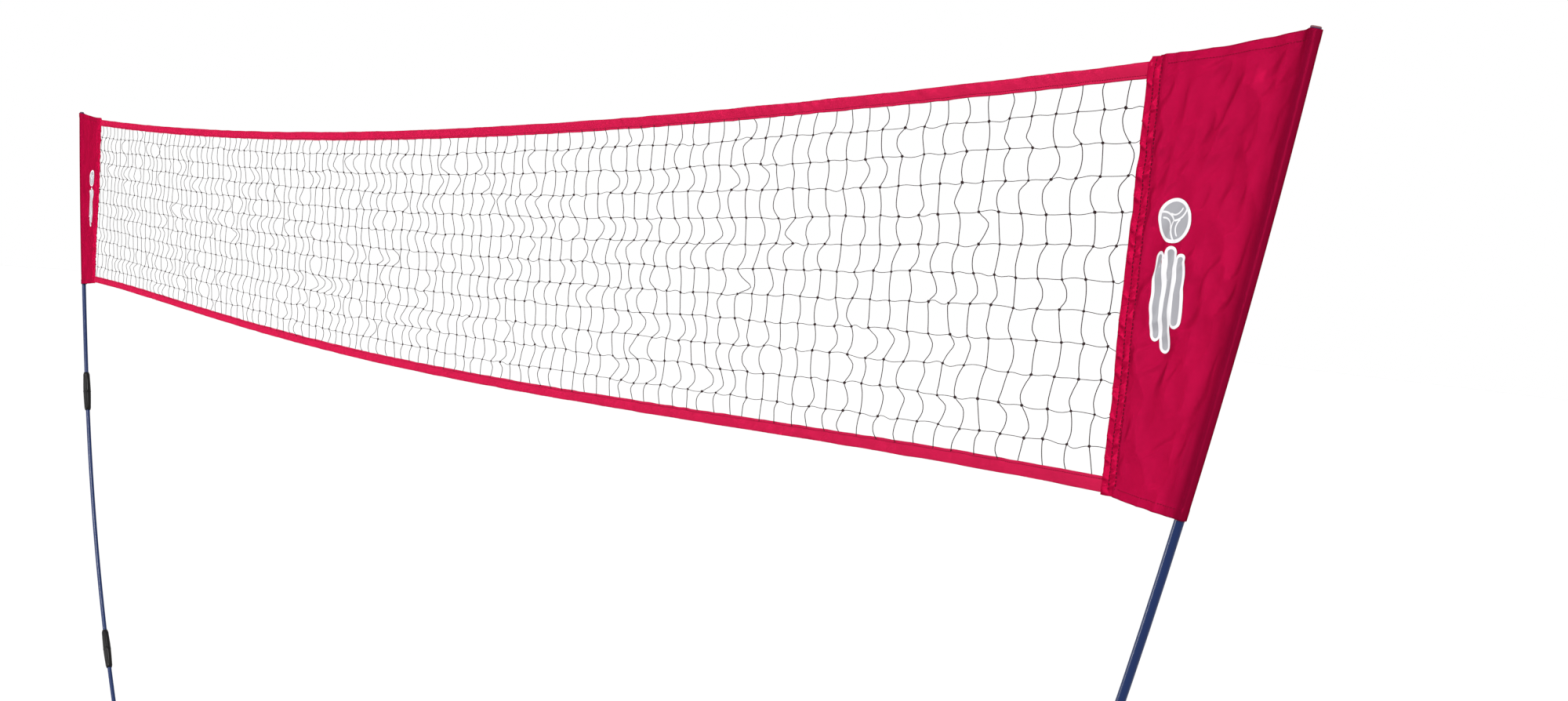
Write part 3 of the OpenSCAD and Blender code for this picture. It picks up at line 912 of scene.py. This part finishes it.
def panel(side, mirror, seed):
    share, inner, outer, lean = panel_rows()
    rows = []
    across = np.linspace(0, 1, FRONT_STEPS)
    for n in range(HEIGHT_STEPS):
        width = np.linalg.norm(outer[n] - inner[n])
        flat = inner[n] + (outer[n] - inner[n]) * across[:, None]
        sag = 0.0028 * (1 - share[n]) ** 6 * np.sin(math.pi * across ** 0.7)
        from_binding, from_pole = across * width, (1 - across) * width
        height = share[n] * SLEEVE_LENGTH
        hem = min(height, SLEEVE_LENGTH - height)
        hem_step = 0.0009 * (1 - smooth_step(HEM_HEIGHT - 0.003, HEM_HEIGHT, hem))
        gap = FLAT_GAP + (SLEEVE_RADIUS - FLAT_GAP) * sleeve_rise(from_pole, height) + hem_step
        gap = gap * (0.6 + 0.4 * smooth_step(0, 0.006, from_binding))
        free = smooth_step(0.001, 0.018, from_pole) * CREASED[side]
        bend = binding_bend(flat[:, 1], BINDING_SEED[side]) * np.exp(-from_binding / 0.035)
        shape = free * panel_creases(from_binding, from_pole, height, seed)
        own = free * 0.25 * panel_creases(from_binding, from_pole, height, seed + 10)
        shape = bend - 0.85 * shape
        front = np.stack([flat[:, 0], shape - np.maximum(gap + own, LEAST_GAP),
                          flat[:, 1] - sag], axis=-1)
        back = np.stack([flat[:, 0], shape + np.maximum(gap - own, LEAST_GAP),
                         flat[:, 1] - sag], axis=-1)
        angle = np.linspace(-math.pi / 2, math.pi / 2, WRAP_STEPS + 2)[1:-1]
        outward = SLEEVE_RADIUS * np.cos(angle)
        wrap = np.stack([outer[n][0] + outward * math.cos(lean[n]),
                         (SLEEVE_RADIUS + hem_step) * np.sin(angle),
                         outer[n][1] - outward * math.sin(lean[n])], axis=-1)
        rows.append(np.concatenate([front, wrap, back[::-1]]))
    points = np.array(rows)
    points[..., 0] *= mirror
    faces = grid_faces(points.shape[0], points.shape[1])
    if mirror < 0:
        faces = [face[::-1] for face in faces]
    piece = new_piece(f"{side}_panel_cloth", points.reshape(-1, 3), faces, PANEL_CLOTH_WITH_PAINTED_SHADE)
    add_thickness(piece, CLOTH_THICKNESS)
    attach(piece, "frame")
    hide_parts(f"{side}_panel")
    return piece, points


SIDES = {"right": 1, "left": -1}
panels = {side: panel(side, mirror, 50 + 30 * n) for n, (side, mirror) in enumerate(SIDES.items())}


# %% Hem stitches at the foot and head of each panel
HEM_SEAM = HEM_HEIGHT - 0.004  # from the panel's edge
UNDER_BINDING = 6  # points across the panel that the binding hides


def panel_hem_seams(points):
    columns = points.shape[1]
    high = int(round(HEM_SEAM / SLEEVE_LENGTH * (HEIGHT_STEPS - 1)))
    low = HEIGHT_STEPS - 1 - high
    front = slice(UNDER_BINDING, FRONT_STEPS)
    back = slice(columns - FRONT_STEPS, columns - UNDER_BINDING)
    return [(proud(points[row, cut], side), side)
            for row in (low, high) for cut, side in ((front, -1), (back, 1))]


for side, (piece, points) in panels.items():
    hem = sew(f"{side}_panel_stitches", panel_hem_seams(points), SEAM_THREAD_PAINTED_SHADE, "panel_cloth")
    print(hem.name, len(hem.data.polygons), "faces")

# %% [markdown]
# ## The print on the panels
#
# Both panels carry the same plain print on the side that faces the camera: a ball with three bars
# trailing below it, white with a grey filling. Each shape is a ribbon of fixed width along a path
# drawn in the panel's plane. Its points are then dropped on to the cloth, so the print follows
# every crease, and each later layer stands a hair further out.

# %% Drop a point on to the front of a panel
def panel_front(points, mirror):
    """A function that gives the front layer's y at (x, z) for the right-hand side's coordinates."""
    front = points[:, :FRONT_STEPS] * (mirror, 1, 1)

    def front_y(x, z):
        share = (CORNER_Z + PANEL_TOP_RISE - z) / (MESH_HEIGHT + PANEL_TOP_RISE + PANEL_BOTTOM_DROP)
        for _ in range(4):  # rows tilt, so the row that passes through the point is found in steps
            row = np.clip(share * (HEIGHT_STEPS - 1), 0, HEIGHT_STEPS - 1.001)
            r = row.astype(int)
            left = front[r, 0] + (front[r + 1, 0] - front[r, 0]) * (row - r)[:, None]
            right = front[r, -1] + (front[r + 1, -1] - front[r, -1]) * (row - r)[:, None]
            across = (x - left[:, 0]) / (right[:, 0] - left[:, 0])
            height_here = left[:, 2] + (right[:, 2] - left[:, 2]) * across
            share = share + (height_here - z) / (MESH_HEIGHT + 0.05)
        column = np.clip(across * (FRONT_STEPS - 1), 0, FRONT_STEPS - 1.001)
        c, u, v = column.astype(int), column - column.astype(int), row - r
        near = front[r, c, 1] * (1 - u) + front[r, c + 1, 1] * u
        far = front[r + 1, c, 1] * (1 - u) + front[r + 1, c + 1, 1] * u
        return near * (1 - v) + far * v

    return front_y


def ribbon(path, width, steps_across=6):
    """A flat band along an (x, z) path with round ends."""
    path = np.asarray(path, float)
    along = np.gradient(path, axis=0)
    along /= np.linalg.norm(along, axis=1)[:, None]
    beside = np.stack([-along[:, 1], along[:, 0]], axis=-1)
    lengths = np.concatenate([[0], np.cumsum(np.linalg.norm(np.diff(path, axis=0), axis=1))])
    from_end = np.minimum(lengths, lengths[-1] - lengths)
    half = width / 2 * np.sqrt(1 - np.clip(1 - from_end / (width / 2), 0, 0.999) ** 2)
    across = np.linspace(-1, 1, steps_across)
    return path[:, None] + beside[:, None] * (half[:, None] * across)[..., None]


def disc(centre, radius, rings=9, spokes=40):
    turn = np.linspace(0, 2 * math.pi, spokes + 1)
    reach = np.linspace(0.02, 1, rings) * radius
    return np.array(centre) + np.stack([reach[:, None] * np.cos(turn),
                                        reach[:, None] * np.sin(turn)], axis=-1)


def arc(centre, radius, start, end, steps=28):
    turn = np.radians(np.linspace(start, end, steps))
    return np.array(centre) + radius * np.stack([np.cos(turn), np.sin(turn)], axis=-1)


def bar(top, bottom, steps=60):
    """A path between two points, with close steps at the ends where the band rounds off."""
    share = 0.5 - 0.5 * np.cos(np.linspace(0, math.pi, steps))
    return np.array(top) + (np.array(bottom) - np.array(top)) * share[:, None]


BALL_CENTRE = (HALF_WIDTH + 0.078, CORNER_Z - 0.180)
BALL_RADIUS = 0.0285
BARS = [((0.0615, -0.219), (0.0615, -0.334)), ((0.0780, -0.212), (0.0780, -0.348)),
        ((0.0945, -0.221), (0.0945, -0.316))]


BALL_RIM = 0.0045
BAR_WIDTH, BAR_FILLING, BAR_RIM = 0.0172, 0.0090, 0.0040
SWIRL_RADIUS, INNER_SWIRL_RADIUS = 0.0215, 0.0142


def bar_path(top, bottom, inset=0.0):
    """A bar's middle line, from its ends measured out and down from the mesh's top corner."""
    return bar((HALF_WIDTH + top[0], CORNER_Z + (top[1] - inset)),
               (HALF_WIDTH + bottom[0], CORNER_Z + (bottom[1] + inset)))


def print_shapes():
    """(layer, finish, points) of every shape, where higher layers lie on lower ones."""
    shapes = [(0, PRINT_WHITE, disc(BALL_CENTRE, BALL_RADIUS)),
              (1, PRINT_GREY, disc(BALL_CENTRE, BALL_RADIUS - BALL_RIM))]
    shapes += [(0, PRINT_WHITE, ribbon(bar_path(*ends), BAR_WIDTH)) for ends in BARS]
    shapes += [(1, PRINT_GREY, ribbon(bar_path(*ends, BAR_RIM), BAR_FILLING)) for ends in BARS]
    for turn in (90, 210, 330):  # three swirls of seams meet at the ball's middle
        outward = np.array([math.cos(math.radians(turn)), math.sin(math.radians(turn))])
        hub = np.array(BALL_CENTRE) + SWIRL_RADIUS * outward
        shapes.append((2, PRINT_WHITE,
                       ribbon(arc(hub, SWIRL_RADIUS, turn + 180, turn + 262), 0.0026)))
        shapes.append((2, PRINT_WHITE,
                       ribbon(arc(hub, INNER_SWIRL_RADIUS, turn + 150, turn + 250), 0.0022)))
    return shapes


PRINT_CLEARANCE, LAYER_STEP = 0.00030, 0.00020


def add_print(side, mirror, front_y):
    by_finish = {PRINT_WHITE: ([], []), PRINT_GREY: ([], [])}
    for layer, finish, shape in print_shapes():
        verts, faces = by_finish[finish]
        x, z = shape[..., 0].ravel(), shape[..., 1].ravel()
        y = front_y(x, z) - CLOTH_THICKNESS / 2 - PRINT_CLEARANCE - LAYER_STEP * (layer + 1)
        faces.extend(grid_faces(*shape.shape[:2], first=len(verts)))
        verts.extend(np.stack([mirror * x, y, z], axis=-1))
    for finish, (verts, faces) in by_finish.items():
        piece = new_piece(f"{side}_{finish.name}", verts, faces, finish)
        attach(piece, "frame")


for side, (piece, points) in panels.items():
    add_print(side, SIDES[side], panel_front(points, SIDES[side]))
print("prints on", len(panels), "panels,", len(print_shapes()), "shapes each")

# %% [markdown]
# ## Bindings
#
# The binding is a strip folded over the edge where mesh and panel meet. It was gathered as it was
# sewn, so it ruffles between its two seams. The ruffles are quick waves along its length, deepest
# between the seams and held flat at them.

# %% Binding
# Distance from the outer edge, and half the gap between the layers there.
BINDING_PROFILE = [(0.0, 0.0019), (0.001, 0.0017), (0.0024, 0.0024), (0.0045, 0.0031),
                   (0.0070, 0.0031), (0.0095, 0.0025), (0.0112, 0.0018), (0.0125, 0.0014),
                   (0.0138, 0.0018), (0.0155, 0.0024), (0.0180, 0.0028), (0.0205, 0.0027),
                   (0.0230, 0.0021), (0.0248, 0.0012)]
BINDING_SEAMS = (0.0012, 0.0125)  # their distances from the outer edge
BINDING_SEAM_POINTS = (1, 7)  # the profile's points nearest to them
BINDING_STEPS = 520
# Heights between which the gathers are pressed together, with a soft start and end to each.
CRUSHED_FROM = (CORNER_Z - 0.50, CORNER_Z - 0.42)
CRUSHED_TO = (0.40 - CORNER_Z, 0.46 - CORNER_Z)


def binding_ruffle(z, d, face, seed):
    """Gathers as lumps about 13 mm long between the seams, with sharp hollows between them."""
    slant = z / 0.0135 + np.where(d < BINDING_SEAMS[1], 0.9, -0.7) * d / 0.012
    third = np.where(d < BINDING_SEAMS[1], 0.0, 7.0) + face
    lumps = 0.0042 * ridged(seed + 6, slant, third)
    small = 0.0012 * ridged(seed + 7, z / 0.0058 + d / 0.02, third + d / 0.009)
    crushed = smooth_step(*CRUSHED_FROM, z) * smooth_step(*CRUSHED_TO, -z)
    tight = 0.0022 * soft_noise(seed + 8, z / 0.0042 + d / 0.006, third)
    return lumps + small + crushed * tight


def binding(side, mirror):
    seed = BINDING_SEED[side]
    top, low = CORNER_Z + 0.028, CORNER_Z - MESH_HEIGHT - 0.0245
    z = np.linspace(top, low, BINDING_STEPS)[:, None]
    section = fold_points(BINDING_PROFILE, BINDING_WIDTH)
    d, gap = section[:, 0][None], section[:, 1][None]
    free = np.min([np.clip(np.abs(d - s) / 0.0045, 0.1, 1) for s in BINDING_SEAMS], axis=0)
    free = free * smooth_step(0, 0.007, BINDING_WIDTH - d)
    ruffle = CREASED[side] * binding_ruffle(z, d, np.sign(gap) * 2, seed) * free
    thick = np.maximum(np.abs(gap) + ruffle, 0.0008 * (gap != 0))
    edge = (0.0016 * soft_noise(seed + 4, z / 0.06) + 0.0006 * soft_noise(seed + 5, z / 0.018)) \
        * (d / BINDING_WIDTH) ** 2
    x = HALF_WIDTH + BINDING_WIDTH - d + edge
    from_end = np.minimum(top - z, z - low)
    closing = np.sqrt(smooth_step(-0.002, 0.006, from_end))
    round_off = 0.006 * (1 - smooth_step(0, 0.010, top - z)) * (d / BINDING_WIDTH) ** 2
    points = np.stack([mirror * (x + round_off),
                       np.sign(gap) * thick * closing + binding_bend(z, seed),
                       np.broadcast_to(z, x.shape)], axis=-1)
    faces = grid_faces(*x.shape)
    if mirror > 0:
        faces = [face[::-1] for face in faces]
    piece = new_piece(f"{side}_binding_cloth", points.reshape(-1, 3), faces, BINDING_CLOTH_LIGHT_AND_SHADE)
    add_thickness(piece, CLOTH_THICKNESS)
    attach(piece, "frame")
    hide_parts(f"{side}_binding")
    seams = [(proud(points[3:-3, k], -1), -1) for k in BINDING_SEAM_POINTS]
    seams += [(proud(points[3:-3, -1 - k], 1), 1) for k in BINDING_SEAM_POINTS]
    sew(f"{side}_binding_stitches", seams, DARK_THREAD, "binding_cloth", radius=0.00065,
        length=0.0046, gap=0.0007, zigzag=0.0004)
    return piece


bindings = {side: binding(side, mirror) for side, mirror in SIDES.items()}
print("binding points", len(bindings["right"].data.vertices))

# %% [markdown]
# ## Ferrules
#
# The moulded ferrules are slim barrels with shallow flutes for grip, a rib at the middle and rolled
# ends. The frame's solid has the right size and bore but plain sides, so a fluted barrel of the
# same size stands for it.

# %% Fluted barrels
FERRULE_LENGTH, FERRULE_RADIUS = 0.135, 0.013
FERRULE_SIDES, FLUTES = 72, 12


def ferrule(name, joint, lean, mirror):
    along = np.array([0, 0.004, 0.006, 0.010, 0.016, 0.030, 0.048, 0.060, 0.0645, 0.0655, 0.0675])
    along = np.concatenate([along, FERRULE_LENGTH - along[-2::-1]])
    slim = np.array([0.66, 0.74, 0.80, 0.845, 0.87, 0.92, 0.965, 0.985, 0.985, 1.0, 1.0])
    slim = np.concatenate([slim, slim[-2::-1]])
    around = np.arange(FERRULE_SIDES) * 2 * math.pi / FERRULE_SIDES
    fluted = smooth_step(0.010, 0.020, np.minimum(along, FERRULE_LENGTH - along))
    fluted *= smooth_step(0.0005, 0.004, np.abs(along - FERRULE_LENGTH / 2))
    dip = 0.5 - 0.5 * np.cos(FLUTES * around)
    radius = FERRULE_RADIUS * slim[:, None] * (1 - 0.075 * fluted[:, None] * dip[None] ** 0.8)
    bore = np.full((1, FERRULE_SIDES), POLE_RADIUS + 0.0009)
    radius = np.concatenate([bore, radius, bore])
    along = np.concatenate([[0.002], along, [FERRULE_LENGTH - 0.002]])
    local = np.stack([radius * np.cos(around), radius * np.sin(around),
                      np.broadcast_to(along[:, None] - FERRULE_LENGTH / 2, radius.shape)], axis=-1)
    lean_up = np.array(Matrix.Rotation(lean, 3, "Y"))
    points = local.reshape(-1, 3) @ lean_up.T + (joint[0], 0, joint[1])
    points[:, 0] *= mirror
    faces = grid_faces(len(along), FERRULE_SIDES, wrap=True)
    if mirror < 0:
        faces = [face[::-1] for face in faces]
    piece = new_piece(f"{name}_barrel", points, faces, FERRULE_BLACK)
    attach(piece, "frame")
    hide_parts(name)


for side, mirror in SIDES.items():
    ferrule(f"{side}_upper_ferrule", UPPER_JOINT, UPPER_LEAN, mirror)
    ferrule(f"{side}_lower_ferrule", LOWER_JOINT, LOWER_LEAN, mirror)
print("ferrules fluted")

# %% [markdown]
# ## The floor
#
# It comes last because it only has to be larger than anything standing on it.

# %% Floor
floor_finish = hard("floor_paint", (0.60, 0.60, 0.60), 0.85, depth=0.02, shine=0.1)
REACH = 60.0
floor = new_piece("floor", [(-REACH, -REACH, 0), (REACH, -REACH, 0), (REACH, REACH, 0),
                            (-REACH, REACH, 0)], [(0, 1, 2, 3)], floor_finish, smooth=False)
